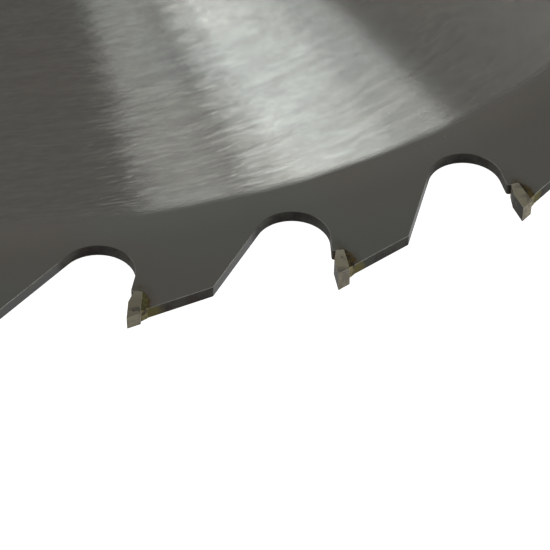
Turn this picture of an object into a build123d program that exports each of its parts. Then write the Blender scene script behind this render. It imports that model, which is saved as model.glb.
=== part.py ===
from build123d import *
import math
import os

# Circular saw blade with brazed carbide tips, in millimetres.
# The axis is Z and the plate's middle plane is XY. The blade cuts turning clockwise
# seen from +Z, so each tooth's back lies counterclockwise of its cutting corner.

# Whole blade
cutting_diameter = 350.0
bore_diameter = 30.0
tooth_count = 30

# Plate
plate_thickness = 2.2
ground_zone_diameter = 299.3
ground_zone_depth = 0.05

# Expansion slots, each cut inward from the floor of a gullet and ended in a round hole
slot_count = 5
first_slot_tooth = 3
slot_width = 1.6
slot_end_diameter = 6.0
slot_end_radius = 130.0

# Carbide tip: its depth runs inward along the rake face, its thickness runs back from it
kerf = 3.2
tip_length = 6.7
tip_thickness = 2.2
hook_angle = 12.5
relief_angle = 14.0
bevel_angle = 13.0
raker_drop = 0.2
side_clearance_inward = 1.0
side_clearance_back = 2.0
nose_flat_length = 4.0
nose_setback = 0.8
heel_chamfer = 0.6

# Seat that the tip is brazed into, and the joint's thickness behind and under the tip
joint_behind = 0.1
joint_under = 0.2
tip_proud_of_land = 1.3
tip_proud_of_wall = 0.2
seat_corner_radius = 0.25
ledge_radius = 0.8

# Tooth back and gullet: the gullet's depth is counted inward from the cutting circle
land_length = 13.1
land_relief = 15.7
back_corner_radius = 0.4
flank_angle = 42.1
wall_angle = 20.0
gullet_depth = 18.7

# Braze run out round the tip: on the plate's faces and in the corner on the land
braze_reach = 0.75
braze_height = 0.32
braze_taper = 60.0
braze_climb = 0.45
braze_foot = 0.3

# Values worked out from the sizes above
cutting_radius = cutting_diameter / 2
pitch = 360.0 / tooth_count
floor_radius = cutting_radius - gullet_depth
overshoot = 2.0
hook = math.radians(hook_angle)
corner = Vector(cutting_radius, 0)
inward = Vector(-math.cos(hook), math.sin(hook))
rearward = Vector(math.sin(hook), math.cos(hook))


def direction(degrees):
    """A unit vector in the XY plane, counted counterclockwise from +X."""
    angle = math.radians(degrees)
    return Vector(math.cos(angle), math.sin(angle))


def at_tip(depth, behind):
    """A point of the tooth's frame: so deep below the cutting corner, so far behind the rake."""
    return corner + inward * depth + rearward * behind


def crossing(point_a, along_a, point_b, along_b):
    """Where two lines of the XY plane meet."""
    scale = along_a.X * along_b.Y - along_a.Y * along_b.X
    gap = point_b - point_a
    return point_a + along_a * ((gap.X * along_b.Y - gap.Y * along_b.X) / scale)


# Where the relief face, which drops behind the cutting corner, meets the tip's back
relief_along = direction(90.0 + relief_angle)
tip_heel_depth = (crossing(corner, relief_along, at_tip(0, tip_thickness), inward) - corner).dot(inward)

# Corners of the steel tooth, in the tooth's frame
seat_back = tip_thickness + joint_behind
seat_depth = tip_length + joint_under
land_start = at_tip(tip_heel_depth + tip_proud_of_land, seat_back)
seat_corner = at_tip(seat_depth, seat_back)
ledge_corner = at_tip(seat_depth, tip_proud_of_wall)
back_corner = land_start + direction(90.0 + land_relief) * land_length

# The flank runs from the back corner of the tooth in front down to this tooth's gullet
front_corner = back_corner.rotate(Axis.Z, -pitch)
inward_angle = math.degrees(math.atan2(-front_corner.Y, -front_corner.X))
flank_along = direction(inward_angle - flank_angle)
wall_along = direction(180.0 - wall_angle)
gullet_vertex = crossing(ledge_corner, wall_along, front_corner, flank_along)


def gullet_arc():
    """Radius and centre of the arc that touches the wall, the flank and the floor's circle."""
    towards_flank = (front_corner - gullet_vertex).normalized()
    towards_wall = (ledge_corner - gullet_vertex).normalized()
    middle = (towards_flank + towards_wall).normalized()
    reach = 1 / math.sin(math.radians(towards_flank.get_angle(towards_wall)) / 2)
    square = reach**2 - 1
    linear = reach * gullet_vertex.dot(middle) - floor_radius
    constant = gullet_vertex.length**2 - floor_radius**2
    radius = (math.sqrt(linear**2 - square * constant) - linear) / square
    return radius, gullet_vertex + middle * (radius * reach)


gullet_radius, gullet_centre = gullet_arc()


def plate_outline():
    """The steel plate's outline: seat, ledge, gullet, flank and land of every tooth."""
    tooth = [
        (land_start, 0.0),
        (seat_corner, seat_corner_radius),
        (ledge_corner, ledge_radius),
        (gullet_vertex, gullet_radius),
        (front_corner, back_corner_radius),
    ]
    points = []
    radii = []
    for index in range(tooth_count):
        for point, radius in tooth:
            points.append(point.rotate(Axis.Z, -index * pitch))
            radii.append(radius)
    return FilletPolyline(*points, radius=radii, close=True)


def expansion_slot():
    """A straight slot down from a gullet's floor to a round hole that ends its stress."""
    slot_length = floor_radius + overshoot - slot_end_radius
    height = plate_thickness + 2 * overshoot
    slot = Pos(slot_end_radius + slot_length / 2, 0, 0) * Box(slot_length, slot_width, height)
    hole = Pos(slot_end_radius, 0, 0) * Cylinder(slot_end_diameter / 2, height)
    return Rot(0, 0, math.degrees(math.atan2(gullet_centre.Y, gullet_centre.X))) * (slot + hole)


def saw_plate():
    """The toothed steel plate, ground a little thinner inside the ground zone's circle."""
    plate = extrude(make_face(plate_outline()), amount=plate_thickness / 2, both=True)
    height = plate_thickness + 2 * overshoot
    plate -= Cylinder(bore_diameter / 2, height)
    for side in (1, -1):
        disc = Cylinder(ground_zone_diameter / 2, ground_zone_depth + overshoot)
        middle = plate_thickness / 2 + (overshoot - ground_zone_depth) / 2
        plate -= Pos(0, 0, side * middle) * disc
    slot = expansion_slot()
    for index in range(slot_count):
        tooth = first_slot_tooth + index * tooth_count / slot_count
        plate -= Rot(0, 0, tooth * pitch) * slot
    return plate


def carbide_tip(high_side):
    """A tip with its edge highest towards +Z (1) or -Z (-1), or a lower, flat raker (0)."""
    profile = Polyline(
        at_tip(-overshoot, 0),
        at_tip(nose_flat_length, 0),
        at_tip(tip_length, nose_setback),
        at_tip(tip_length, tip_thickness - heel_chamfer),
        at_tip(tip_length - heel_chamfer, tip_thickness),
        at_tip(-overshoot, tip_thickness),
        close=True,
    )
    tip = extrude(make_face(profile), amount=kerf, both=True)
    half_kerf = Vector(0, 0, kerf / 2)
    up = Vector(0, 0, 1)
    for side in (1, -1):
        lean = inward * math.tan(math.radians(side_clearance_inward))
        lean += rearward * math.tan(math.radians(side_clearance_back))
        face = Plane(origin=corner + half_kerf * side, z_dir=lean + up * side)
        tip = split(tip, bisect_by=face, keep=Keep.BOTTOM)
    edge_along = inward * high_side * math.tan(math.radians(bevel_angle)) - up
    drop = 0.0 if high_side else raker_drop
    edge_point = at_tip(drop, 0) + half_kerf * high_side
    relief = Plane(origin=edge_point, z_dir=edge_along.cross(relief_along))
    return split(tip, bisect_by=relief, keep=Keep.BOTTOM)


def braze_joint(plate, tip):
    """The filler metal between tip and seat, with what ran out of it on both faces."""
    rear = seat_back + braze_reach
    land_depth = tip_heel_depth + tip_proud_of_land
    outline = Polyline(
        at_tip(land_depth - braze_climb, tip_thickness),
        at_tip(land_depth + joint_behind, rear),
        at_tip(seat_depth - heel_chamfer, rear),
        at_tip(seat_depth + braze_foot, tip_thickness - heel_chamfer),
        at_tip(seat_depth, nose_setback),
        at_tip(nose_flat_length + joint_under, tip_thickness / 2),
        close=True,
    )
    face = make_face(outline)
    core = extrude(face, amount=plate_thickness / 2, both=True)
    top = extrude(Pos(0, 0, plate_thickness / 2) * face, amount=braze_height, taper=braze_taper)
    return core + top + mirror(top, about=Plane.XY) - plate - tip


def build():
    """Every sub-part by its name, each a solid in the blade's frame."""
    plate = saw_plate()
    grinds = [carbide_tip(high_side) for high_side in (-1, 0, 1)]
    joint = braze_joint(plate, grinds[0])
    parts = {"saw_plate": plate}
    joints = []
    for index in range(tooth_count):
        place = Rot(0, 0, index * pitch)
        parts[f"carbide_tip_{index + 1:02d}"] = place * grinds[index % len(grinds)]
        joints.append(place * joint)
    parts["braze_joints"] = Compound(children=joints)
    return parts


os.makedirs("parts", exist_ok=True)
for name, shape in build().items():
    shape.label = name
    export_step(shape, f"parts/{name}.step")
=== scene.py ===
"""A circular saw blade with brazed carbide tips, dressed for a close studio photograph.

The blade lies flat on a pale floor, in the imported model's own frame and in metres: its axis
is Z and the tooth whose tip is number 1 points along +X. It cuts turning clockwise seen from
+Z, so each tooth's back lies counterclockwise of its cutting corner.
"""

import logging
import math
import random
from collections.abc import Callable, Iterable, Mapping, Sequence
from dataclasses import dataclass, field
from enum import Enum
from functools import cached_property
from typing import Any, Union

import bmesh
import bpy
from bmesh.types import BMEdge, BMesh, BMFace, BMVert
from bpy.types import AreaLight, Material, Node, NodeSocket, NodeTree, Object
from mathutils import Matrix, Vector

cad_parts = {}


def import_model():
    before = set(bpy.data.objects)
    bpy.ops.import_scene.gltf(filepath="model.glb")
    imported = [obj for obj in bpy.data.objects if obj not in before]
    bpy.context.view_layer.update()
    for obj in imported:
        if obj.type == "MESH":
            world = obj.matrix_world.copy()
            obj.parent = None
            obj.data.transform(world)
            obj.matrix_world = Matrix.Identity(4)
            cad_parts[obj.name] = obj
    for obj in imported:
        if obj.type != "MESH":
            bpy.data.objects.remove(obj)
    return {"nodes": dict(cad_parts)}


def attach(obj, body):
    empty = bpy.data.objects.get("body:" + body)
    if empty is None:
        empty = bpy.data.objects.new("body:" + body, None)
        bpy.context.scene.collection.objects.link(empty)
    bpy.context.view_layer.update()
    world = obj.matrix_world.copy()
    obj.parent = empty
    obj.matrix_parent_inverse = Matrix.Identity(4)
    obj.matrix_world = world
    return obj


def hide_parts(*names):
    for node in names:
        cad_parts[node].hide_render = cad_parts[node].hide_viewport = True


frame: dict[str, Any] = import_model()
log = logging.getLogger("saw_blade")

BODY = "root"
CENTRE = Vector((0.0, 0.0, 0.0))
UP = Vector((0.0, 0.0, 1.0))
MERGE = 2e-6
FULL_TURN = 2.0 * math.pi
MEAN = 0.5  # what noise swings about
ROUND = 0.5  # the bevel profile that gives an arc
FRONT_SHARE = 0.25  # how much of a pitch in front of a cutting corner belongs to its tooth

Colour = tuple[float, float, float]
Span = tuple[float, float]
Value = Union["Field", NodeSocket, float, Sequence[float]]
Inputs = Mapping[str | int, Value]


def direction(angle: float) -> Vector:
    """A unit vector in the blade's plane, at an angle in degrees from +X."""
    return Vector((math.cos(math.radians(angle)), math.sin(math.radians(angle)), 0.0))


def crossing(point_a: Vector, along_a: Vector, point_b: Vector, along_b: Vector) -> Vector:
    """Where a line through a point meets another one, both in the blade's plane."""
    gap = point_b - point_a
    return point_a + along_a * (gap.cross(along_b).z / along_a.cross(along_b).z)


# Meshes


def placed(bm: BMesh, name: str) -> Object:
    """Turn a bmesh into a linked object.

    Args:
        bm: The mesh, which this frees.
        name: The object's name.

    Returns:
        The object, at the origin and unturned.
    """
    mesh = bpy.data.meshes.new(name)
    bm.to_mesh(mesh)
    bm.free()
    made = bpy.data.objects.new(name, mesh)
    bpy.context.scene.collection.objects.link(made)
    return made


def finished(bm: BMesh, name: str, materials: Iterable[Material]) -> Object:
    """Turn a bmesh into an object of the blade that rides on its body.

    Args:
        bm: The mesh in the blade's frame, which this frees.
        name: The object's name.
        materials: The materials of its slots, in order.

    Returns:
        The object, at the origin and unturned.
    """
    point_outwards(bm)
    piece = placed(bm, name)
    for material in materials:
        piece.data.materials.append(material)
    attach(piece, BODY)
    return piece


def soften(piece: Object, sharp: float) -> None:
    """Shade a piece smooth, with flat faces kept flat and creases above an angle kept sharp.

    Args:
        piece: The object to shade.
        sharp: The crease angle in degrees.
    """
    piece.data.polygons.foreach_set("use_smooth", [True] * len(piece.data.polygons))
    piece.data.set_sharp_from_angle(angle=math.radians(sharp))
    weighted = piece.modifiers.new("even_normals", "WEIGHTED_NORMAL")
    weighted.keep_sharp = True
    weighted.weight = 100


def vertices(items: Iterable[Any]) -> list[BMVert]:
    """The vertices among what an operator made."""
    return [item for item in items if isinstance(item, BMVert)]


def everything(bm: BMesh) -> list[Any]:
    """All vertices, edges and faces of a mesh."""
    return bm.verts[:] + bm.edges[:] + bm.faces[:]


def merge(bm: BMesh) -> None:
    """Join the vertices that lie on each other."""
    bmesh.ops.remove_doubles(bm, verts=bm.verts[:], dist=MERGE)


def point_outwards(bm: BMesh) -> None:
    """Turn the faces of a closed mesh outwards."""
    bmesh.ops.recalc_face_normals(bm, faces=bm.faces[:])


def chain(bm: BMesh, points: Sequence[BMVert]) -> list[BMEdge]:
    """Add the edges that join vertices in a row."""
    return [bm.edges.new(pair) for pair in zip(points, points[1:])]


def polygon(bm: BMesh, points: Iterable[Vector], height: float) -> list[BMVert]:
    """Add one flat face.

    Args:
        bm: The mesh to add to.
        points: The corners in order.
        height: The face's height along Z.

    Returns:
        The corners' vertices, in the same order.
    """
    corners = [bm.verts.new((point.x, point.y, height)) for point in points]
    bm.faces.new(corners)
    return corners


def round_corner(bm: BMesh, corner: BMVert, radius: float, segments: int) -> None:
    """Replace a corner of a flat face by an arc that is tangent to both of its edges.

    Args:
        bm: The mesh that holds the corner.
        corner: The corner's vertex, which has two edges.
        radius: The arc's radius.
        segments: How many straight pieces the arc gets.
    """
    sides = [edge.other_vert(corner).co - corner.co for edge in corner.link_edges]
    bmesh.ops.bevel(
        bm,
        geom=[corner],
        offset=radius * math.cos(sides[0].angle(sides[1]) / 2.0),
        offset_type="OFFSET",
        segments=segments,
        profile=ROUND,
        affect="VERTICES",
        material=-1,
    )


def swept(bm: BMesh, start: Vector, centre: Vector, angle: float, steps: int) -> tuple[BMVert, BMVert]:
    """Sweep a point round a centre into a chain of edges.

    Args:
        bm: The mesh to add to.
        start: Where the chain starts.
        centre: The arc's centre.
        angle: The arc's angle in degrees, counterclockwise.
        steps: How many edges it gets.

    Returns:
        The chain's first and last vertex.
    """
    first = bm.verts.new(start)
    turn = math.radians(angle)
    made = bmesh.ops.spin(bm, geom=[first], cent=centre, axis=UP, angle=turn, steps=steps)
    return first, vertices(made["geom_last"])[0]


def raise_prism(bm: BMesh, height: float) -> None:
    """Extrude every face of a flat mesh along Z into a closed prism.

    Args:
        bm: The mesh.
        height: How far the faces rise.
    """
    made = bmesh.ops.extrude_face_region(bm, geom=bm.faces[:])["geom"]
    bmesh.ops.translate(bm, verts=vertices(made), vec=UP * height)
    point_outwards(bm)


def cut_away(bm: BMesh, point: Vector, outwards: Vector) -> None:
    """Cut a closed mesh by a plane, drop what lies on its outer side and close the cut.

    Args:
        bm: The mesh to cut.
        point: A point of the plane.
        outwards: The plane's normal, towards what is dropped.
    """
    cut = bmesh.ops.bisect_plane(
        bm,
        geom=everything(bm),
        dist=MERGE,
        plane_co=point,
        plane_no=outwards,
        clear_outer=True,
    )["geom_cut"]
    bmesh.ops.contextual_create(bm, geom=[item for item in cut if isinstance(item, BMEdge)])


def ease_edges(bm: BMesh, edges: list[BMEdge], width: float, segments: int) -> list[BMFace]:
    """Bevel some edges round.

    Args:
        bm: The mesh that holds them.
        edges: The edges to bevel.
        width: How far the round reaches on each face.
        segments: How many strips the round gets.

    Returns:
        The faces of the rounds.
    """
    return bmesh.ops.bevel(
        bm,
        geom=edges,
        offset=width,
        offset_type="OFFSET",
        segments=segments,
        profile=ROUND,
        affect="EDGES",
        clamp_overlap=True,
        material=-1,
    )["faces"]


def creased(bm: BMesh, angle: float) -> list[BMEdge]:
    """The edges at which two faces turn by more than an angle in degrees."""
    limit = math.radians(angle)
    return [edge for edge in bm.edges if len(edge.link_faces) == 2 and edge.calc_face_angle() > limit]


# Shader maths


@dataclass(frozen=True)
class Noise:
    """Cloudy noise, and the span of its values that a mask stretches over 0 to 1."""

    scale: float
    detail: float = 2.0
    roughness: float = 0.5
    span: Span = (0.0, 1.0)


@dataclass(frozen=True)
class Field:
    """A number that varies over a surface, with its maths written as Python expressions."""

    graph: "Graph"
    socket: NodeSocket

    def __add__(self, other: Value) -> "Field":
        """The sum."""
        return self.graph.maths("ADD", self, other)

    __radd__ = __add__

    def __sub__(self, other: Value) -> "Field":
        """The difference."""
        return self.graph.maths("SUBTRACT", self, other)

    def __rsub__(self, other: Value) -> "Field":
        """The difference, the other way round."""
        return self.graph.maths("SUBTRACT", other, self)

    def __mul__(self, other: Value) -> "Field":
        """The product."""
        return self.graph.maths("MULTIPLY", self, other)

    __rmul__ = __mul__

    def __truediv__(self, other: Value) -> "Field":
        """The quotient."""
        return self.graph.maths("DIVIDE", self, other)

    def __pow__(self, other: Value) -> "Field":
        """The power."""
        return self.graph.maths("POWER", self, other)

    def __abs__(self) -> "Field":
        """The absolute value."""
        return self.graph.maths("ABSOLUTE", self)

    def band(self, low: float, high: float) -> "Field":
        """A smooth step from 0 at one value to 1 at another.

        Args:
            low: The value that gives 0.
            high: The value that gives 1, which may be the lower one.

        Returns:
            The step.
        """
        step = self.graph.node(
            "ShaderNodeMapRange",
            {"interpolation_type": "SMOOTHSTEP"},
            {"Value": self, "From Min": low, "From Max": high},
        )
        return Field(self.graph, step.outputs["Result"])


@dataclass
class Graph:
    """The node tree of one material."""

    tree: NodeTree

    def node(
        self, kind: str, settings: Mapping[str, Any] | None = None, inputs: Inputs | None = None
    ) -> Node:
        """Add a node.

        Args:
            kind: The node's type.
            settings: Its properties, set before its sockets are.
            inputs: Values or links of its sockets, by name or number.

        Returns:
            The node.
        """
        made = self.tree.nodes.new(kind)
        for name, value in (settings or {}).items():
            setattr(made, name, value)
        self.dress(made, inputs or {})
        return made

    def dress(self, node: Node, inputs: Inputs) -> None:
        """Give some of a node's sockets links or constants, by name or number."""
        for name, value in inputs.items():
            self.feed(node.inputs[name], value)

    def feed(self, socket: NodeSocket, value: Value) -> None:
        """Give a socket a link or a constant.

        Args:
            socket: The socket.
            value: What it gets. A colour may leave out its alpha.
        """
        source = value.socket if isinstance(value, Field) else value
        if isinstance(source, NodeSocket):
            self.tree.links.new(source, socket)
        elif isinstance(source, Sequence) and len(source) < len(socket.default_value):
            socket.default_value = (*source, 1.0)
        else:
            socket.default_value = source

    def maths(self, operation: str, *values: Value) -> Field:
        """Add a Math node on up to three values."""
        made = self.node("ShaderNodeMath", {"operation": operation}, dict(enumerate(values)))
        return Field(self, made.outputs[0])

    def vector_maths(self, operation: str, inputs: Inputs) -> NodeSocket:
        """Add a Vector Math node on inputs by name or number."""
        return self.node("ShaderNodeVectorMath", {"operation": operation}, inputs).outputs[0]

    def mix(self, factor: Value, first: Value, second: Value) -> NodeSocket:
        """Blend two colours.

        Args:
            factor: How much of the second colour shows.
            first: The first colour.
            second: The second colour.

        Returns:
            The blended colour's socket.
        """
        made = self.node("ShaderNodeMix", {"data_type": "RGBA"}, {"Factor": factor})
        sockets = {socket.identifier: socket for socket in (*made.inputs, *made.outputs)}
        self.feed(sockets["A_Color"], first)
        self.feed(sockets["B_Color"], second)
        return sockets["Result_Color"]

    def shaded(self, colour: Value, shade: Field) -> NodeSocket:
        """A colour made lighter or darker: 1 leaves it as it is, and 2 is the most."""
        doubled = self.vector_maths("SCALE", {"Vector": colour, "Scale": 2.0})
        return self.mix(shade / 2.0, (0.0, 0.0, 0.0), doubled)

    def axes(self, vector: Value) -> tuple[Field, Field, Field]:
        """The three parts of a vector."""
        parts = self.node("ShaderNodeSeparateXYZ", None, {"Vector": vector}).outputs
        return Field(self, parts[0]), Field(self, parts[1]), Field(self, parts[2])

    def vector(self, x: Value, y: Value, z: Value) -> NodeSocket:
        """A vector from three numbers."""
        return self.node("ShaderNodeCombineXYZ", None, {0: x, 1: y, 2: z}).outputs[0]

    @cached_property
    def place(self) -> NodeSocket:
        """The surface's place in the blade's frame."""
        return self.node("ShaderNodeTexCoord").outputs["Object"]

    @cached_property
    def radius(self) -> Field:
        """The distance from the axis."""
        x, y, _ = self.axes(self.place)
        return self.maths("SQRT", x * x + y * y)

    @cached_property
    def angle(self) -> Field:
        """The angle round the axis in radians, counterclockwise from +X."""
        x, y, _ = self.axes(self.place)
        return self.maths("ARCTAN2", y, x)

    @cached_property
    def facing(self) -> NodeSocket:
        """The way that the surface faces."""
        return self.node("ShaderNodeNewGeometry").outputs["Normal"]

    @cached_property
    def level(self) -> Field:
        """How much the surface faces up or down."""
        return abs(self.axes(self.facing)[2])

    @cached_property
    def turning(self) -> Field:
        """How much the surface faces counterclockwise round the axis.

        Returns:
            The share, which is negative where it faces clockwise.
        """
        x, y, _ = self.axes(self.place)
        across, upright, _ = self.axes(self.facing)
        return (upright * x - across * y) / self.radius

    def along(self, pitch: float) -> Field:
        """The way along the rim from the nearest tooth's cutting corner.

        Args:
            pitch: The angle from tooth to tooth in degrees.

        Returns:
            The way, counted counterclockwise.
        """
        teeth = self.angle / math.radians(pitch)
        share = teeth - self.maths("FLOOR", teeth + FRONT_SHARE)
        return share * math.radians(pitch) * self.radius

    def swing(self, crest: float, period: float) -> Field:
        """A wave round the axis from -1 to 1, by an angle of its crest and its period in degrees."""
        return self.maths("COSINE", (self.angle - math.radians(crest)) * (360.0 / period))

    def noise(self, look: Noise, place: Value | None = None) -> Field:
        """Cloudy noise from 0 to 1.

        Args:
            look: How fine and how rough it is.
            place: Where it is read, which is the surface's own place if none is given.

        Returns:
            The noise.
        """
        inputs = {
            "Vector": self.place if place is None else place,
            "Scale": look.scale,
            "Detail": look.detail,
            "Roughness": look.roughness,
        }
        return Field(self, self.node("ShaderNodeTexNoise", None, inputs).outputs["Fac"])

    def mask(self, look: Noise) -> Field:
        """Cloudy noise, with its span stretched over 0 to 1."""
        return self.noise(look).band(*look.span)

    def bump(self, height: Field, distance: float, strength: float) -> NodeSocket:
        """A normal that leans as a height does, by how high 1 is in metres and how much shows."""
        inputs = {"Height": height, "Distance": distance, "Strength": strength}
        return self.node("ShaderNodeBump", None, inputs).outputs["Normal"]

    def leaned(self, towards: Value, slope: Field) -> NodeSocket:
        """A normal that leans by a slope from the surface's own towards a direction."""
        push = self.vector_maths("SCALE", {"Vector": towards, "Scale": slope})
        return self.vector_maths("NORMALIZE", {0: self.vector_maths("ADD", {0: self.facing, 1: push})})


def surface(name: str) -> tuple[Material, Graph, Node]:
    """A new node material.

    Args:
        name: The material's name.

    Returns:
        The material, its graph and its Principled node.
    """
    material = bpy.data.materials.new(name)
    material.use_nodes = True
    return material, Graph(material.node_tree), material.node_tree.nodes["Principled BSDF"]


# The tooth, whose sizes the plate, the tips and the braze share


@dataclass(frozen=True)
class Tooth:
    """One tooth's sizes in its own frame: the cutting corner on +X, the tooth's back along +Y."""

    count: int = 30
    cutting_radius: float = 0.175
    kerf: float = 0.0032
    tip_length: float = 0.0067
    tip_thickness: float = 0.0022
    hook: float = 12.5
    relief: float = 14.0
    bevel: float = 13.0
    raker_drop: float = 0.0002
    clearance_inward: float = 1.0
    clearance_back: float = 2.0
    nose_flat: float = 0.0040
    nose_setback: float = 0.0008
    joint_behind: float = 0.0001
    joint_under: float = 0.0002
    proud_of_land: float = 0.0013
    proud_of_wall: float = 0.0002
    land_length: float = 0.0131
    land_relief: float = 15.7
    flank: float = 42.1
    wall: float = 20.0
    gullet_depth: float = 0.0187
    plate_thickness: float = 0.0022

    @property
    def pitch(self) -> float:
        """The angle from tooth to tooth in degrees."""
        return 360.0 / self.count

    @property
    def corner(self) -> Vector:
        """The cutting corner."""
        return Vector((self.cutting_radius, 0.0, 0.0))

    @property
    def inward(self) -> Vector:
        """Down along the rake face."""
        return -direction(-self.hook)

    @property
    def rearward(self) -> Vector:
        """Back from the rake face."""
        return direction(90.0 - self.hook)

    @property
    def relief_along(self) -> Vector:
        """Back along the relief face, which drops behind the cutting corner."""
        return direction(90.0 + self.relief)

    def at_tip(self, depth: float, behind: float) -> Vector:
        """A point so deep below the cutting corner and so far behind the rake face."""
        return self.corner + self.inward * depth + self.rearward * behind

    @property
    def land_depth(self) -> float:
        """How deep the land starts behind the tip."""
        heel = crossing(self.corner, self.relief_along, self.at_tip(0.0, self.tip_thickness), self.inward)
        return (heel - self.corner).dot(self.inward) + self.proud_of_land

    @property
    def seat_back(self) -> float:
        """How far behind the rake face the seat's wall is."""
        return self.tip_thickness + self.joint_behind

    @property
    def seat_depth(self) -> float:
        """How deep the seat's ledge is."""
        return self.tip_length + self.joint_under

    @property
    def seat_corner(self) -> Vector:
        """Where the seat's wall meets its ledge."""
        return self.at_tip(self.seat_depth, self.seat_back)

    @property
    def land_start(self) -> Vector:
        """Where the seat's wall meets the land."""
        return self.at_tip(self.land_depth, self.seat_back)

    @property
    def back_corner(self) -> Vector:
        """Where the land meets the flank."""
        return self.land_start + direction(90.0 + self.land_relief) * self.land_length

    @property
    def land_middle(self) -> Vector:
        """The middle of the land, where one pitch of the plate starts."""
        return (self.land_start + self.back_corner) / 2.0

    @property
    def floor_radius(self) -> float:
        """How far from the axis the gullets' floors are."""
        return self.cutting_radius - self.gullet_depth

    def turn(self, teeth: int) -> Matrix:
        """The turn to another tooth, counted counterclockwise."""
        return Matrix.Rotation(math.radians(teeth * self.pitch), 3, "Z")

    def gullet(self) -> tuple[Vector, Vector, Vector, float, Vector]:
        """The gullet's outline.

        Returns:
            The ledge's corner, the corner that the arc rounds, the corner of the tooth in front,
            and the arc's radius and centre.
        """
        ledge = self.at_tip(self.seat_depth, self.proud_of_wall)
        front = self.turn(-1) @ self.back_corner
        flank = direction(math.degrees(math.atan2(-front.y, -front.x)) - self.flank)
        vertex = crossing(ledge, direction(180.0 - self.wall), front, flank)
        to_flank, to_wall = (front - vertex).normalized(), (ledge - vertex).normalized()
        middle = (to_flank + to_wall).normalized()
        reach = 1.0 / math.sin(to_flank.angle(to_wall) / 2.0)
        square = reach**2 - 1.0
        linear = reach * vertex.dot(middle) - self.floor_radius
        constant = vertex.length_squared - self.floor_radius**2
        radius = (math.sqrt(linear**2 - square * constant) - linear) / square
        return ledge, vertex, front, radius, vertex + middle * (radius * reach)


# Finishes


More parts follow.
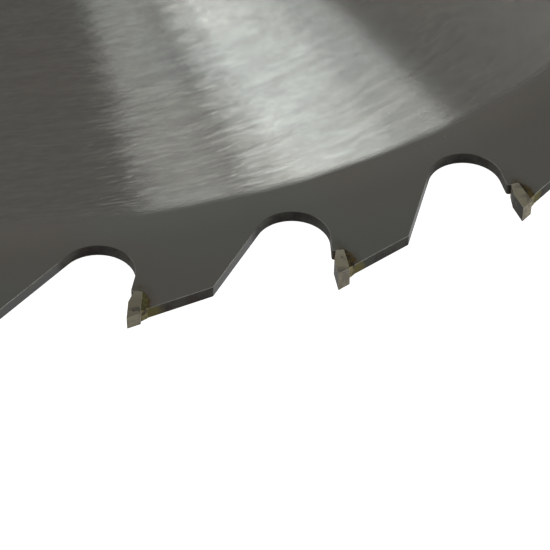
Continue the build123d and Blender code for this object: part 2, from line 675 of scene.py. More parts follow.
@dataclass(frozen=True)
class RimFinish:
    """The plate's dull skin: dark and matte, heat-stained at each tip, with brighter flanks and painted
    shade on the walls.
    """

    tooth: Tooth
    warm: Colour = (0.160, 0.148, 0.128)
    cool: Colour = (0.153, 0.154, 0.135)
    warmth: Noise = Noise(22.0, span=(0.42, 0.58))
    cloud: Noise = Noise(60.0, 3.0)
    cloud_shade: float = 0.10
    cloud_roughness: float = 0.08
    grain: Noise = Noise(2600.0)
    grain_shade: float = 0.08
    grain_height: float = 0.00001
    grain_bump: float = 0.4
    # a painted glow near the bright ground zone, and a slightly darker outer rim
    painted_glow: float = 0.15
    inner_span: Span = (0.159, 0.1505)
    outer_dark: float = 0.05
    outer_span: Span = (0.158, 0.170)
    metallic: float = 0.35
    specular: float = 0.1
    roughness: float = 0.58
    face_shade: float = 1.06
    painted_wall_shade: float = 0.51
    wall_levels: Span = (0.6, 0.3)
    patch: Colour = (0.050, 0.038, 0.036)
    patches: Noise = Noise(300.0, 3.0, 0.6, (0.45, 0.60))
    patch_strength: float = 0.65
    flank: Colour = (0.095, 0.095, 0.09)
    flank_turns: Span = (0.50, 0.62)
    flank_polish: float = 0.2
    flank_from: Span = (0.1585, 0.1605)
    halo: Colour = (0.108, 0.094, 0.070)
    halo_reach: Span = (0.0034, 0.0008)
    halo_strength: float = 0.5
    burnt: Colour = (0.094, 0.064, 0.028)
    burnt_reach: Span = (0.0019, 0.0009)
    stain_outwards: float = 0.6429
    stain_squeeze: float = 0.45
    brassy: Colour = (0.172, 0.154, 0.055)
    brassy_run: Span = (0.0042, 0.0022)
    brassy_from: Span = (0.1695, 0.1702)
    brassy_ragged: float = 1.4
    brassy_strength: float = 0.85
    border: Noise = Noise(700.0)
    border_ragged: float = 0.0022
    mark: Colour = (0.32, 0.32, 0.30)
    speck_cells: float = 90.0
    speck_sizes: Span = (0.018, 0.009)
    speck_share: Span = (0.75, 0.80)
    speck_strength: float = 0.6
    scratch: tuple[Vector, Vector] = (Vector((0.0718, -0.1327, 0.0)), Vector((0.0744, -0.1380, 0.0)))
    scratch_width: float = 0.00045
    scratch_taper: float = 0.3
    scratch_strength: float = 0.06

    def material(self) -> Material:
        """The skin of the faces and, painted darker as shade and stained in patches, of the walls.

        Returns:
            The material.
        """
        material, graph, steel = surface("plate_rim")
        wall = graph.level.band(*self.wall_levels)
        flank = wall * graph.turning.band(*self.flank_turns) * graph.radius.band(*self.flank_from)
        skin, roughness, normal = self.skin(graph)
        # the walls are painted darker than the faces as shade
        colour = graph.shaded(skin, self.face_shade - self.painted_wall_shade * wall)
        patches = wall * graph.mask(self.patches) * self.patch_strength
        colour = graph.mix(patches, colour, self.patch)
        colour = self._stained(graph, wall, colour)
        colour = graph.mix(self._marks(graph) * (1.0 - wall), colour, self.mark)
        graph.dress(
            steel,
            {
                "Base Color": graph.mix(flank, colour, self.flank),
                "Metallic": self.metallic - wall * self.metallic + flank,
                "Specular IOR Level": self.specular,
                "Roughness": roughness - flank * self.flank_polish,
                "Normal": normal,
            },
        )
        return material

    def skin(self, graph: Graph) -> tuple[Value, Field, Value]:
        """The dull skin of a face, with a painted glow that makes it a little brighter towards the ground
        zone.

        Args:
            graph: The material's graph.

        Returns:
            Its colour, its roughness and its grainy normal.
        """
        cloud = graph.noise(self.cloud) - MEAN
        grain = graph.noise(self.grain)
        shade = 1.0 + self.cloud_shade * cloud + self.grain_shade * (grain - MEAN)
        # painted glow: lighter near the bright ground zone, a little darker out towards the teeth
        shade = shade + self.painted_glow * graph.radius.band(*self.inner_span)
        shade = shade - self.outer_dark * graph.radius.band(*self.outer_span)
        hue = graph.mix(graph.mask(self.warmth), self.cool, self.warm)
        roughness = self.roughness + self.cloud_roughness * cloud
        return graph.shaded(hue, shade), roughness, graph.bump(grain, self.grain_height, self.grain_bump)

    def _stained(self, graph: Graph, wall: Field, colour: Value) -> NodeSocket:
        """Stain a colour brown behind each tip, and brass yellow on the start of each land.

        Args:
            graph: The material's graph.
            wall: Where the surface is a wall and not a face.
            colour: The steel's colour.

        Returns:
            The stained colour.
        """
        ragged = (graph.noise(self.border) - MEAN) * self.border_ragged
        along = graph.along(self.tooth.pitch)
        land = self.tooth.land_start
        middle = self.tooth.seat_corner.lerp(land, self.stain_outwards)
        deep = (graph.radius - middle.x) * self.stain_squeeze
        spread = graph.maths("SQRT", deep**2.0 + (along - middle.y) ** 2.0) + ragged
        thin, full = (land.y + reach for reach in self.brassy_run)
        run = (along + ragged * self.brassy_ragged).band(thin, full)
        on_land = wall * run * graph.radius.band(*self.brassy_from)
        colour = graph.mix(spread.band(*self.halo_reach) * self.halo_strength, colour, self.halo)
        colour = graph.mix(spread.band(*self.burnt_reach), colour, self.burnt)
        return graph.mix(on_land * self.brassy_strength, colour, self.brassy)

    def _marks(self, graph: Graph) -> Field:
        """Where a few pale specks lie and a light scratch runs on the upper face.

        Args:
            graph: The material's graph.

        Returns:
            How much each mark shows.
        """
        flat = {"voronoi_dimensions": "2D"}
        inputs = {"Vector": graph.place, "Scale": self.speck_cells}
        cells = graph.node("ShaderNodeTexVoronoi", flat, inputs)
        chosen, *_ = graph.axes(cells.outputs["Color"])
        specks = Field(graph, cells.outputs["Distance"]).band(*self.speck_sizes)
        specks = specks * chosen.band(*self.speck_share)
        start, end = self.scratch
        length = (end - start).length
        taper = length * self.scratch_taper
        run = (end - start).normalized()
        x, y, _ = graph.axes(graph.place)
        down = (x - start.x) * run.x + (y - start.y) * run.y
        aside = (x - start.x) * run.y - (y - start.y) * run.x
        line = abs(aside).band(self.scratch_width, 0.0)
        line = line * down.band(0.0, taper) * down.band(length, length - taper)
        return graph.maths("MAXIMUM", specks * self.speck_strength, line * self.scratch_strength)


@dataclass(frozen=True)
class EdgeFinish:
    """The plate's eased edges: painted dark as shade in the gullets, paler on the teeth and rubbed bright
    behind.
    """

    tooth: Tooth
    # the gullet colour is painted shade that keeps the gullets' edges dark
    gullet: Colour = (0.096, 0.0888, 0.0768)
    handled: Colour = (0.240, 0.222, 0.192)
    handled_from: Span = (0.1585, 0.1605)
    rubbed: Colour = (0.32, 0.32, 0.30)
    rubbed_from: Span = (0.159, 0.166)
    rubbed_behind: Span = (0.001, 0.0025)
    wear: Noise = Noise(350.0, 4.0, 0.7, (0.36, 0.62))
    metallic: float = 0.10
    handled_metallic: float = 0.15
    specular: float = 0.1
    roughness: float = 0.65
    handled_polish: float = 0.2

    def material(self) -> Material:
        """The edges' steel.

        Returns:
            The material.
        """
        material, graph, steel = surface("plate_edge")
        behind = graph.along(self.tooth.pitch).band(*self.rubbed_behind)
        worn = graph.mask(self.wear) * graph.radius.band(*self.rubbed_from) * behind
        handled = graph.radius.band(*self.handled_from)
        graph.dress(
            steel,
            {
                "Base Color": graph.mix(worn, graph.mix(handled, self.gullet, self.handled), self.rubbed),
                "Metallic": self.metallic + self.handled_metallic * handled,
                "Specular IOR Level": self.specular,
                "Roughness": self.roughness - self.handled_polish * handled,
            },
        )
        return material


@dataclass(frozen=True)
class GroundFinish:
    """The bright face that a grinding wheel left in fine circles.

    The circles are finer than the camera sees and lean the facets towards or away from the
    axis, so a lamp shows along a whole radius of the zone. Streaks vary their shade and lean, and
    in short dashes a share of the facets also leans round the axis, towards the next lamp.
    Towards the zone's edge the grinding fades out into the rim's skin.
    """

    rim: RimFinish
    cool: Colour = (0.706, 0.686, 0.620)
    warm: Colour = (0.726, 0.684, 0.606)
    tint: Noise = Noise(24.0, span=(0.38, 0.62))
    roughness: float = 0.18
    circling: float = 0.25
    groove: float = 0.00015
    groove_lean: float = 0.75
    groove_drift: float = 3.0
    streak: Noise = Noise(1.0, 1.0)
    streak_skew: Span = (0.37, 0.61)
    streak_radius: float = 0.14
    pale_size: Span = (0.0028, 0.0007)
    pale_shade: float = 0.24
    pale_glint: float = 0.066
    pale_glints: Span = (0.42, 0.75)
    broad_size: Span = (0.0112, 0.0021)
    broad_shade: float = 0.16
    broad_glint: float = 0.154
    broad_glints: Span = (0.40, 0.65)
    streak_askew: float = 0.02
    dash: Span = (0.57, 0.67)
    dash_askew: float = 0.12
    dash_sides: Span = (0.53, 0.45)
    dashed_from: Span = (0.080, 0.145)
    fade: Span = (0.1483, 0.1506)
    fade_ragged: float = 0.0012

    def material(self) -> Material:
        """The ground steel.

        Returns:
            The material.
        """
        material, graph, steel = surface("plate_ground")
        pale = self._streaks(graph, self.pale_size)
        broad = self._streaks(graph, self.broad_size)
        shade = 1.0 + self.pale_shade * (pale - MEAN) + self.broad_shade * (broad - MEAN)
        hue = graph.mix(graph.mask(self.tint), self.warm, self.cool)
        graph.dress(
            steel,
            {
                "Base Color": graph.shaded(hue, shade),
                "Metallic": 1.0,
                "Roughness": self.roughness,
                "Anisotropic": 1.0,
                "Anisotropic Rotation": self.circling,
                "Normal": self._grooves(graph, pale, broad),
            },
        )
        colour, roughness, normal = self.rim.skin(graph)
        metallic = self.rim.metallic
        skin = {"Base Color": colour, "Metallic": metallic, "Roughness": roughness, "Normal": normal}
        dull = graph.node("ShaderNodeBsdfPrincipled", None, skin).outputs["BSDF"]
        faded = (graph.radius + (broad - MEAN) * self.fade_ragged).band(*self.fade)
        blend = graph.node("ShaderNodeMixShader", None, {0: faded, 1: steel.outputs["BSDF"], 2: dull})
        graph.feed(graph.tree.nodes["Material Output"].inputs["Surface"], blend.outputs[0])
        return material

    def _streaks(self, graph: Graph, size: Span) -> Field:
        """Noise drawn out round the axis.

        Args:
            graph: The material's graph.
            size: A streak's length near the zone's edge and its width, in metres.

        Returns:
            The noise.
        """
        x, y, _ = graph.axes(graph.place)
        stretch = self.streak_radius / size[0]
        depth = graph.radius / size[1]
        across, upright = (part / graph.radius * stretch for part in (x, y))
        skewed = (across + depth * self.streak_skew[0], upright + depth * self.streak_skew[1], depth)
        return graph.noise(self.streak, graph.vector(*skewed))

    def _grooves(self, graph: Graph, pale: Field, broad: Field) -> NodeSocket:
        """The normal that the grinding's circles leave.

        Args:
            graph: The material's graph.
            pale: The short streaks.
            broad: The long streaks.

        Returns:
            The normal's socket.
        """
        radius, peak = graph.radius, 0.5
        wave = graph.maths("PINGPONG", radius / self.groove + self.groove_drift * broad, peak)
        side = wave * (2.0 / peak) - 1.0
        glint = self.pale_glint * pale.band(*self.pale_glints)
        glint = glint + self.broad_glint * broad.band(*self.broad_glints)
        dash = pale.band(*self.dash) * radius.band(*self.dashed_from) * side.band(*self.dash_sides)
        askew = self.streak_askew * (pale + broad - 2.0 * MEAN) + self.dash_askew * dash
        x, y, _ = graph.axes(graph.place)
        towards = graph.vector((x - y * askew) / radius, (y + x * askew) / radius, 0.0)
        return graph.leaned(towards, side * (self.groove_lean * (1.0 - glint)))


@dataclass(frozen=True)
class CarbideFinish:
    """Sintered carbide: grey with a warm cast, ground on the outside, with pits and smears."""

    tooth: Tooth
    base: Colour = (0.318, 0.288, 0.205)
    pale: Colour = (0.416, 0.381, 0.300)
    pale_inside: Span = (0.1712, 0.1686)
    pale_strength: float = 0.55
    smear: Colour = (0.118, 0.104, 0.094)
    smears: Noise = Noise(420.0, 3.0, span=(0.45, 0.65))
    smear_strength: float = 0.7
    grain: Noise = Noise(2600.0)
    grain_shade: float = 0.3
    grain_height: float = 0.00001
    grain_bump: float = 0.5
    dark_every: int = 3
    dark_angle: float = 276.0
    dark_strength: float = 0.17
    # dark pits, and the painted shade of the rake faces
    pits_and_rake_shade: Colour = (0.03, 0.028, 0.022)
    pits: Noise = Noise(1500.0, 1.0, span=(0.29, 0.24))
    pit_strength: float = 0.7
    rake_turns: Span = (-0.80, -0.92)
    rake_painted_shade: float = 0.95
    # painted glints: pale specks that stand in for sparkles of light
    glint: Colour = (0.6, 0.58, 0.5)
    glints: Noise = Noise(1300.0, 1.0, span=(0.72, 0.75))
    painted_glint_strength: float = 0.6
    metallic: float = 0.4
    specular: float = 0.05
    roughness: float = 0.42
    smear_polish: float = 0.1
    rubbed: Colour = (0.420, 0.405, 0.340)
    rubs_and_edge_highlights: Noise = Noise(700.0, 3.0, 0.7, (0.42, 0.62))
    edge_metallic: float = 0.3
    edge_specular: float = 0.1
    edge_roughness: float = 0.35

    def material(self) -> Material:
        """The carbide, whose rake faces are painted darker as shade.

        Returns:
            The material.
        """
        material, graph, body = surface("carbide")
        rake = graph.turning.band(*self.rake_turns)
        cloud = graph.noise(self.smears)
        grain = graph.noise(self.grain)
        smeared = cloud.band(*self.smears.span) * self.smear_strength
        inside = graph.radius.band(*self.pale_inside)
        paler = inside * self.pale_strength + (grain - MEAN) * self.grain_shade
        swing = graph.swing(self.dark_angle, self.dark_every * self.tooth.pitch)
        colour = graph.mix(paler, graph.mix(smeared, self.base, self.smear), self.pale)
        colour = graph.shaded(colour, 1.0 - self.dark_strength * swing)
        # dark pits, and painted shade on the rake faces
        deep = graph.mask(self.pits) * self.pit_strength + rake * self.rake_painted_shade
        colour = graph.mix(deep, colour, self.pits_and_rake_shade)
        # painted glints on the carbide
        glints = graph.mask(self.glints) * self.painted_glint_strength
        graph.dress(
            body,
            {
                "Base Color": graph.mix(glints, colour, self.glint),
                "Metallic": self.metallic - self.metallic * rake,
                "Specular IOR Level": self.specular,
                "Roughness": self.roughness - self.smear_polish * cloud,
                "Normal": graph.bump(grain, self.grain_height, self.grain_bump),
            },
        )
        return material

    def edge_material(self) -> Material:
        """Carbide paler along its edges in places: partly rubbed wear, partly a painted highlight.

        Returns:
            The material.
        """
        material, graph, body = surface("carbide_edge")
        # paler edges: partly wear, partly a painted highlight
        rubbed = graph.mask(self.rubs_and_edge_highlights)
        graph.dress(
            body,
            {
                "Base Color": graph.mix(rubbed, self.base, self.rubbed),
                "Metallic": self.edge_metallic,
                "Specular IOR Level": self.edge_specular,
                "Roughness": self.edge_roughness,
            },
        )
        return material


@dataclass(frozen=True)
class BrazeFinish:
    """The filler metal: burnt brown on the faces, olive at some teeth, brass yellow on the land."""

    tooth: Tooth
    brown: Colour = (0.129, 0.092, 0.028)
    olive: Colour = (0.138, 0.122, 0.041)
    olive_every: int = 3
    olive_angle: float = 276.0
    olive_swings: Span = (0.0, 0.7)
    brass: Colour = (0.190, 0.161, 0.063)
    brass_levels: Span = (0.75, 0.4)
    dark: Colour = (0.045, 0.034, 0.018)
    cloud: Noise = Noise(1100.0, 3.0)
    face_clouds: Span = (0.38, 0.60)
    land_clouds: Span = (0.34, 0.50)
    bead: Colour = (0.5, 0.44, 0.28)
    beads: Noise = Noise(1700.0, 1.0, span=(0.66, 0.72))
    bead_strength: float = 0.5
    lumps: Noise = Noise(1800.0)
    lump_height: float = 0.0001
    lump_bump: float = 0.8
    metallic: float = 0.6
    roughness: float = 0.45

    def material(self) -> Material:
        """The filler.

        Returns:
            The material.
        """
        material, graph, metal = surface("braze")
        swing = graph.swing(self.olive_angle, self.olive_every * self.tooth.pitch)
        hue = graph.mix(swing.band(*self.olive_swings), self.brown, self.olive)
        cloud = graph.noise(self.cloud)
        face = graph.mix(cloud.band(*self.face_clouds), self.dark, hue)
        land = graph.mix(cloud.band(*self.land_clouds), self.dark, self.brass)
        colour = graph.mix(graph.level.band(*self.brass_levels), face, land)
        beads = graph.mask(self.beads) * self.bead_strength
        lumps = graph.noise(self.lumps)
        graph.dress(
            metal,
            {
                "Base Color": graph.mix(beads, colour, self.bead),
                "Metallic": self.metallic,
                "Roughness": self.roughness,
                "Normal": graph.bump(lumps, self.lump_height, self.lump_bump),
            },
        )
        return material


# Pieces


@dataclass
class SawPlate:
    """The toothed steel plate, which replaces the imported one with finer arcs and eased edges."""

    tooth: Tooth
    rim: RimFinish
    ground: GroundFinish
    edge: EdgeFinish
    ground_radius: float = 0.14965
    ground_depth: float = 0.00005
    ground_step: float = 0.0012
    skin_radius: float = 0.1510
    face_level: float = 0.5
    bore_radius: float = 0.015
    bore_chamfer: float = 0.0003
    edge_ease: float = 0.00008
    ease_steps: int = 3
    ease_crease: float = 40.0
    sharp: float = 32.0
    seat_radius: float = 0.00025
    seat_steps: int = 4
    ledge_radius: float = 0.0008
    ledge_steps: int = 8
    back_radius: float = 0.0004
    back_steps: int = 4
    circle_steps: int = 24
    gullet_steps: int = 40
    slot_count: int = 5
    first_slot_tooth: int = 3
    slot_width: float = 0.0016
    slot_height: float = 0.0066
    slot_overshoot: float = 0.0022
    slot_end_radius: float = 0.130
    hole_radius: float = 0.003
    hole_height: float = 0.00616
    hole_steps: int = 48

    def build(self) -> Object:
        """Make the plate.

        Returns:
            The plate's object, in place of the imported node.
        """
        bm = bmesh.new()
        self._rim_sector(bm)
        others = self.tooth.count - 1
        bmesh.ops.spin(
            bm,
            geom=everything(bm),
            cent=CENTRE,
            axis=UP,
            angle=FULL_TURN * others / self.tooth.count,
            steps=others,
            use_duplicate=True,
        )
        merge(bm)
        self._outer_wall(bm)
        self._ground_ring(bm)
        merge(bm)
        bmesh.ops.mirror(bm, geom=everything(bm), axis="Z", merge_dist=MERGE)
        merge(bm)
        point_outwards(bm)
        for face in bm.faces:
            inside = face.calc_center_median().xy.length < self.skin_radius
            face.material_index = int(inside and abs(face.normal.z) > self.face_level)
        outer = [edge for edge in creased(bm, self.ease_crease) if self._is_outer(edge)]
        for face in ease_edges(bm, outer, self.edge_ease, self.ease_steps):
            face.material_index = 2
        materials = (self.rim.material(), self.ground.material(), self.edge.material())
        plate = finished(bm, "saw_plate_fine", materials)
        self._cut_slots(plate)
        soften(plate, self.sharp)
        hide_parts("saw_plate")
        return plate

    def _is_outer(self, edge: BMEdge) -> bool:
        """Whether an edge lies outside the ground zone and its skin."""
        return edge.verts[0].co.xy.length > self.skin_radius + self.ground_step

    def _rim_sector(self, bm: BMesh) -> None:
        """Add one pitch of the rim's upper face, from the middle of a land to the next one.

        Args:
            bm: The mesh to add to.
        """
        tooth = self.tooth
        top = UP * (tooth.plate_thickness / 2.0)
        ledge, vertex, front, radius, centre = tooth.gullet()
        from_wall = centre + direction(-90.0 - tooth.wall) * -radius
        from_flank = vertex + (front - vertex).normalized() * (from_wall - vertex).length
        turn = math.degrees((from_wall - centre).angle(from_flank - centre))
        next_middle = tooth.turn(-1) @ tooth.land_middle
        points = (tooth.land_middle, tooth.land_start, tooth.seat_corner, ledge)
        start = [bm.verts.new(point + top) for point in points]
        gullet = swept(bm, from_wall + top, centre + top, turn, self.gullet_steps)
        end = [bm.verts.new(point + top) for point in (front, next_middle)]
        inner = next_middle.normalized() * self.skin_radius
        circle = swept(bm, inner + top, top, tooth.pitch, self.circle_steps)
        chain(bm, [*start, gullet[0]])
        chain(bm, [gullet[1], *end, circle[0]])
        chain(bm, [circle[1], start[0]])
        bmesh.ops.contextual_create(bm, geom=bm.edges[:])
        round_corner(bm, start[2], self.seat_radius, self.seat_steps)
        round_corner(bm, start[3], self.ledge_radius, self.ledge_steps)
        round_corner(bm, end[0], self.back_radius, self.back_steps)

    def _outer_wall(self, bm: BMesh) -> None:
        """Pull the outline's edge down to the plate's middle plane.

        Args:
            bm: The mesh that holds the rim's upper face.
        """
        rim = [edge for edge in bm.edges if edge.is_boundary and self._is_outer(edge)]
        made = bmesh.ops.extrude_edge_only(bm, edges=rim)["geom"]
        bmesh.ops.translate(bm, verts=vertices(made), vec=-UP * self.tooth.plate_thickness / 2.0)

    def _ground_ring(self, bm: BMesh) -> None:
        """Add the upper half of the ground zone, its edge and the bore, turned from one profile.

        Args:
            bm: The mesh to add to.
        """
        top = self.tooth.plate_thickness / 2.0
        face = top - self.ground_depth
        profile = (
            (self.skin_radius, top),
            (self.ground_radius, top),
            (self.ground_radius - self.ground_step, face),
            (self.bore_radius + self.bore_chamfer, face),
            (self.bore_radius, face - self.bore_chamfer),
            (self.bore_radius, 0.0),
        )
        outward = self.tooth.land_middle.normalized()
        line = [bm.verts.new(outward * radius + UP * height) for radius, height in profile]
        bmesh.ops.spin(
            bm,
            geom=line + chain(bm, line),
            cent=CENTRE,
            axis=UP,
            angle=FULL_TURN,
            steps=self.tooth.count * self.circle_steps,
            use_merge=True,
        )

    def _cut_slots(self, plate: Object) -> None:
        """Cut the expansion slots, each from a gullet's floor to a round hole that ends its stress.

        Args:
            plate: The plate's object.
        """
        cutter = bmesh.new()
        *_, centre = self.tooth.gullet()
        length = self.tooth.floor_radius + self.slot_overshoot - self.slot_end_radius
        size = Matrix.Diagonal((length, self.slot_width, self.slot_height, 1.0))
        for index in range(self.slot_count):
            teeth = self.first_slot_tooth + index * self.tooth.count // self.slot_count
            reach = self.tooth.turn(teeth) @ centre
            turn = Matrix.Rotation(math.atan2(reach.y, reach.x), 4, "Z")
            end = turn @ Matrix.Translation((self.slot_end_radius, 0.0, 0.0))
            middle = Matrix.Translation((length / 2.0, 0.0, 0.0))
            bmesh.ops.create_cube(cutter, size=1.0, matrix=end @ middle @ size)
            bmesh.ops.create_cone(
                cutter,
                cap_ends=True,
                segments=self.hole_steps,
                radius1=self.hole_radius,
                radius2=self.hole_radius,
                depth=self.hole_height,
                matrix=end,
            )
        tool = placed(cutter, "slot_cutter")
        cut = plate.modifiers.new("slots", "BOOLEAN")
        cut.object = tool
        cut.operation = "DIFFERENCE"
        cut.solver = "EXACT"
        cut.use_self = True
        bpy.context.view_layer.update()
        evaluated = plate.evaluated_get(bpy.context.evaluated_depsgraph_get())
        result = bpy.data.meshes.new_from_object(evaluated)
        plate.modifiers.remove(cut)
        plate.data = result
        bpy.data.objects.remove(tool)


class Grind(Enum):
    """How a tip's cutting edge is ground, and the side of the plate on which it is highest."""

    LOW_SIDE = -1
    RAKER = 0
    HIGH_SIDE = 1


@dataclass
class CarbideTips:
    """The brazed tips: two with opposite bevels and then a flat, slightly lower raker."""

    tooth: Tooth
    finish: CarbideFinish
    heel_radius: float = 0.0004
    heel_steps: int = 6
    nose_radius: float = 0.0003
    nose_steps: int = 4
    edge_ease: float = 0.00005
    ease_steps: int = 2
    ease_crease: float = 40.0
    sharp: float = 35.0
    order: tuple[Grind, ...] = (Grind.LOW_SIDE, Grind.RAKER, Grind.HIGH_SIDE)

    def build(self) -> list[Object]:
        """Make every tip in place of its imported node.

        Returns:
            The tips' objects.
        """
        materials = (self.finish.material(), self.finish.edge_material())
        tips = []
        for index in range(self.tooth.count):
            bm = self._tip(self.order[index % len(self.order)])
            bmesh.ops.rotate(bm, verts=bm.verts[:], cent=CENTRE, matrix=self.tooth.turn(index))
            tip = finished(bm, f"tip_{index + 1:02d}", materials)
            soften(tip, self.sharp)
            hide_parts(f"carbide_tip_{index + 1:02d}")
            tips.append(tip)
        return tips

    def _tip(self, grind: Grind) -> BMesh:
        """Make one tip in the tooth's own frame.

        Args:
            grind: How its cutting edge is ground.

        Returns:
            Its mesh.
        """
        tooth = self.tooth
        over = tooth.tip_thickness
        profile = (
            tooth.at_tip(-over, 0.0),
            tooth.at_tip(tooth.nose_flat, 0.0),
            tooth.at_tip(tooth.tip_length, tooth.nose_setback),
            tooth.at_tip(tooth.tip_length, tooth.tip_thickness),
            tooth.at_tip(-over, tooth.tip_thickness),
        )
        bm = bmesh.new()
        corners = polygon(bm, profile, -tooth.kerf)
        round_corner(bm, corners[2], self.nose_radius, self.nose_steps)
        round_corner(bm, corners[3], self.heel_radius, self.heel_steps)
        raise_prism(bm, 2.0 * tooth.kerf)
        lean = tooth.inward * math.tan(math.radians(tooth.clearance_inward))
        lean += tooth.rearward * math.tan(math.radians(tooth.clearance_back))
        for side in (1.0, -1.0):
            cut_away(bm, tooth.corner + UP * (side * tooth.kerf / 2.0), lean + UP * side)
        high = float(grind.value)
        edge_along = tooth.inward * (high * math.tan(math.radians(tooth.bevel))) - UP
        drop = tooth.raker_drop if grind is Grind.RAKER else 0.0
        edge_point = tooth.at_tip(drop, 0.0) + UP * (high * tooth.kerf / 2.0)
        cut_away(bm, edge_point, edge_along.cross(tooth.relief_along))
        for face in ease_edges(bm, creased(bm, self.ease_crease), self.edge_ease, self.ease_steps):
            face.material_index = 1
        return bm


@dataclass
class BrazeJoints:
    """The filler metal of every joint, run out round the tip on both faces and on the land."""

    tooth: Tooth
    finish: BrazeFinish
    land_run: float = 0.0012
    face_run: float = 0.0010
    inner_run: float = 0.0004
    uneven: float = 0.3
    proud: float = 0.00022
    feather: float = 0.00004
    climb: float = 0.0004
    sunk: float = 0.0003
    edge_ease: float = 0.00008
    ease_steps: int = 2
    ease_crease: float = 25.0
    sharp: float = 50.0
    seed: int = 11

    def build(self) -> Object:
        """Make all joints as one object, each run out a little differently.

        Returns:
            The joints' object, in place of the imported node.
        """
        chance = random.Random(self.seed)
        bm = bmesh.new()
        for index in range(self.tooth.count):
            known = set(bm.verts)
            self._joint(bm, lambda run: run * chance.uniform(1.0 - self.uneven, 1.0 + self.uneven))
            fresh = [vertex for vertex in bm.verts if vertex not in known]
            bmesh.ops.rotate(bm, verts=fresh, cent=CENTRE, matrix=self.tooth.turn(index))
        point_outwards(bm)
        ease_edges(bm, creased(bm, self.ease_crease), self.edge_ease, self.ease_steps)
        joints = finished(bm, "braze_run", [self.finish.material()])
        soften(joints, self.sharp)
        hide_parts("braze_joints")
        return joints

    def _joint(self, bm: BMesh, vary: Callable[[float], float]) -> None:
        """Add one joint in the tooth's own frame: high against the tip, thin where it runs out.

        Args:
            bm: The mesh to add to.
            vary: What makes a run differ from joint to joint.
        """
        tooth = self.tooth
        fall = math.tan(math.radians(tooth.land_relief + tooth.hook))
        land_run = vary(self.land_run)
        middle = (tooth.land_depth + tooth.seat_depth) / 2.0
        high = (
            tooth.at_tip(tooth.land_depth - self.climb, tooth.tip_thickness - self.sunk),
            tooth.at_tip(tooth.seat_depth - self.sunk, tooth.nose_setback + self.sunk),
            tooth.at_tip(tooth.seat_depth - self.sunk, tooth.tip_thickness - self.sunk),
        )
        low = (
            tooth.at_tip(tooth.seat_depth + self.feather, tooth.nose_setback + 2.0 * self.sunk),
            tooth.at_tip(tooth.seat_depth + self.sunk, tooth.tip_thickness - self.sunk),
            tooth.at_tip(tooth.seat_depth - self.sunk, tooth.seat_back + vary(self.inner_run)),
            tooth.at_tip(middle, tooth.seat_back + vary(self.face_run)),
            tooth.at_tip(tooth.land_depth + land_run * fall - self.feather, tooth.seat_back + land_run),
        )
        half = tooth.plate_thickness / 2.0
        known = set(bm.verts)
        corners = polygon(bm, (high[0], high[1], *low), half + self.feather)
        bmesh.ops.poke(bm, faces=list(corners[0].link_faces))
        peak = next(vertex for vertex in bm.verts if vertex not in known and vertex not in corners)
        peak.co.xy = high[2].xy
        for raised in (corners[0], corners[1], peak):
            raised.co.z = half + self.proud
        rim = [edge for edge in bm.edges if edge.is_boundary]
        for vertex in vertices(bmesh.ops.extrude_edge_only(bm, edges=rim)["geom"]):
            vertex.co.z = 0.0
        half_joint = [vertex for vertex in bm.verts if vertex not in known]
        edges = {edge for vertex in half_joint for edge in vertex.link_edges}
        faces = {face for vertex in half_joint for face in vertex.link_faces}
        bmesh.ops.mirror(bm, geom=[*half_joint, *edges, *faces], axis="Z", merge_dist=MERGE)


# The studio


@dataclass(frozen=True)
class Softbox:
    """A rectangular lamp, placed by the lean of the facets in which the camera sees it mirrored.

    The circles of the ground zone lean its facets towards or away from the axis, so each radius
    of the zone shows a lamp when its facets point to it, all along that radius. One long edge of
    the lamp lies along such a radius, which shows as a line from the bore outwards. The next
    lamp starts where this one ends, because a gap would show as a dark radius.
    """

    name: str
    radius_angle: float
    width: float
    strength: float


@dataclass(frozen=True)
class FillBox:
    """A large rectangular lamp in a direction in degrees from the blade, wide along the horizon."""

    name: str
    azimuth: float
    elevation: float
    strength: float


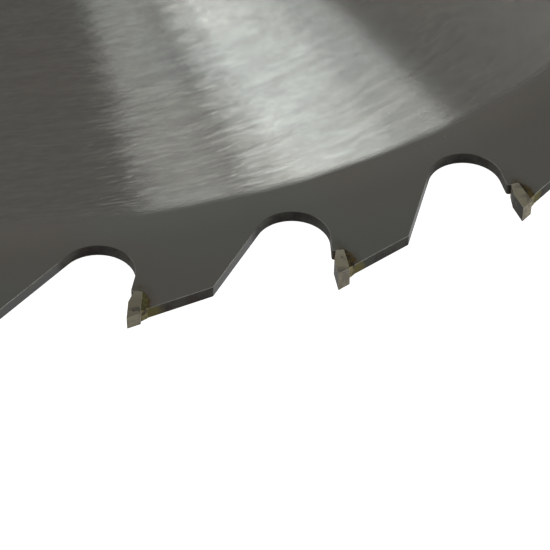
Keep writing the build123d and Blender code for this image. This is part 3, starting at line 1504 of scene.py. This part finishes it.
@dataclass
class Studio:
    """The camera, the pale floor and plain soft lamps."""

    position: Vector = field(default_factory=lambda: Vector((0.00826, -0.50818, 0.32635)))
    forward: Vector = field(default_factory=lambda: Vector((0.07434, 0.72399, -0.68579)))
    upward: Vector = field(default_factory=lambda: Vector((0.04403, 0.68464, 0.72755)))
    lens: float = 185.85
    nearest: float = 0.01
    floor_height: float = -0.00161
    floor_size: float = 6.0
    paper: Colour = (0.7, 0.7, 0.7)
    paper_roughness: float = 0.9
    mirrored_paper: float = 0.5
    sky: Colour = (0.125, 0.125, 0.125)
    lamp_distance: float = 4.0
    box_leans: Span = (0.25, 0.55)
    box_tint: Colour = (0.868, 0.947, 1.0)
    boxes: tuple[Softbox, ...] = (
        Softbox("side_box", -84.9, 0.47, 1.16),
        Softbox("key_near_wing", -74.2, 0.22, 1.98),
        Softbox("key_box", -70.3, 0.28, 3.2),
        Softbox("key_far_wing", -64.75, 0.24, 2.6),
        Softbox("key_far_end", -60.3, 0.36, 1.8),
    )
    fill_size: Span = (3.0, 2.0)
    fills: tuple[FillBox, ...] = (
        FillBox("left_box", 180.0, 35.0, 2.8),
        FillBox("right_box", 0.0, 15.0, 4.5),
    )

    def build(self) -> None:
        """Set up the camera, the floor, the lamps and the world."""
        self._camera()
        self._floor()
        self._world()
        for box in self.boxes:
            self._softbox(box)
        for fill in self.fills:
            self._fill(fill)
        bpy.context.scene.view_settings.view_transform = "Standard"

    def _camera(self) -> None:
        """Stand the camera where the photograph was taken from."""
        data = bpy.data.cameras.new("camera")
        data.lens = self.lens
        data.clip_start = self.nearest
        camera = bpy.data.objects.new("camera", data)
        right = self.forward.cross(self.upward).normalized()
        turn = Matrix((right, right.cross(self.forward), -self.forward)).transposed()
        camera.matrix_world = Matrix.Translation(self.position) @ turn.to_4x4()
        bpy.context.scene.collection.objects.link(camera)
        bpy.context.scene.camera = camera

    def _floor(self) -> None:
        """Lay a wide pale floor just under the lowest tips, white to the camera and in the steel."""
        bm = bmesh.new()
        bmesh.ops.create_grid(bm, x_segments=1, y_segments=1, size=self.floor_size)
        bmesh.ops.translate(bm, verts=bm.verts[:], vec=UP * self.floor_height)
        floor = placed(bm, "floor")
        material, graph, paper = surface("floor")
        rays = graph.node("ShaderNodeLightPath").outputs
        mirrored = Field(graph, rays["Is Glossy Ray"]) + rays["Is Transmission Ray"]
        graph.dress(
            paper,
            {
                "Base Color": self.paper,
                "Roughness": self.paper_roughness,
                "Specular IOR Level": 0.0,
                "Emission Color": mirrored * self.mirrored_paper + rays["Is Camera Ray"],
                "Emission Strength": 1.0,
            },
        )
        floor.data.materials.append(material)

    def _world(self) -> None:
        """Fill the room with an even dim light."""
        world = bpy.data.worlds.new("room")
        world.use_nodes = True
        world.node_tree.nodes["Background"].inputs["Color"].default_value = (*self.sky, 1.0)
        bpy.context.scene.world = world

    def _mirrored(self, lean: float, angle: float) -> Vector:
        """Where the camera looks by a facet that leans by a slope towards an angle in degrees."""
        facet = (direction(angle) * lean + UP).normalized()
        return self.forward - facet * (2.0 * self.forward.dot(facet))

    def _softbox(self, box: Softbox) -> None:
        """Hang a soft box where the ground zone shows it between its two leans.

        Args:
            box: The lamp.
        """
        ends = [self._mirrored(lean, box.radius_angle) * self.lamp_distance for lean in self.box_leans]
        along = ends[1] - ends[0]
        edge = (ends[0] + ends[1]) / 2.0
        side = along.cross(edge).normalized()
        if side.dot(direction(box.radius_angle + 90.0)) < 0.0:
            side = -side
        centre = edge + side * (box.width / 2.0)
        lamp = self._hang(box.name, centre, along, (box.width, along.length), box.strength)
        lamp.color = self.box_tint

    def _fill(self, box: FillBox) -> None:
        """Hang a fill lamp.

        Args:
            box: The lamp.
        """
        rise = math.radians(box.elevation)
        towards = direction(box.azimuth) * math.cos(rise) + UP * math.sin(rise)
        self._hang(box.name, towards * self.lamp_distance, UP, self.fill_size, box.strength)

    @staticmethod
    def _hang(name: str, centre: Vector, along: Vector, size: Span, strength: float) -> AreaLight:
        """Hang a rectangular lamp that faces the blade.

        Args:
            name: The lamp's name.
            centre: Where its middle hangs.
            along: The direction of its second size.
            size: Its two sizes in metres.
            strength: Its radiance, where 1 shows as white.

        Returns:
            The lamp's light.
        """
        data = bpy.data.lights.new(name, "AREA")
        data.shape = "RECTANGLE"
        data.size, data.size_y = size
        data.energy = strength * math.pi * size[0] * size[1]
        lamp = bpy.data.objects.new(name, data)
        back = centre.normalized()
        across = along.cross(back).normalized()
        turn = Matrix((across, back.cross(across), back)).transposed()
        lamp.matrix_world = Matrix.Translation(centre) @ turn.to_4x4()
        bpy.context.scene.collection.objects.link(lamp)
        return data


def main() -> None:
    """Build the blade and its studio, and report each piece."""
    logging.basicConfig(level=logging.INFO, format="%(name)s: %(message)s")
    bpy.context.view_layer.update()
    tooth = Tooth()
    rim = RimFinish(tooth)
    Studio().build()
    plate = SawPlate(tooth, rim, GroundFinish(rim), EdgeFinish(tooth)).build()
    log.info("%s: %d faces", plate.name, len(plate.data.polygons))
    tips = CarbideTips(tooth, CarbideFinish(tooth)).build()
    log.info("%d tips of %d faces", len(tips), len(tips[0].data.polygons))
    joints = BrazeJoints(tooth, BrazeFinish(tooth)).build()
    log.info("%s: %d faces", joints.name, len(joints.data.polygons))


if __name__ == "__main__":
    main()
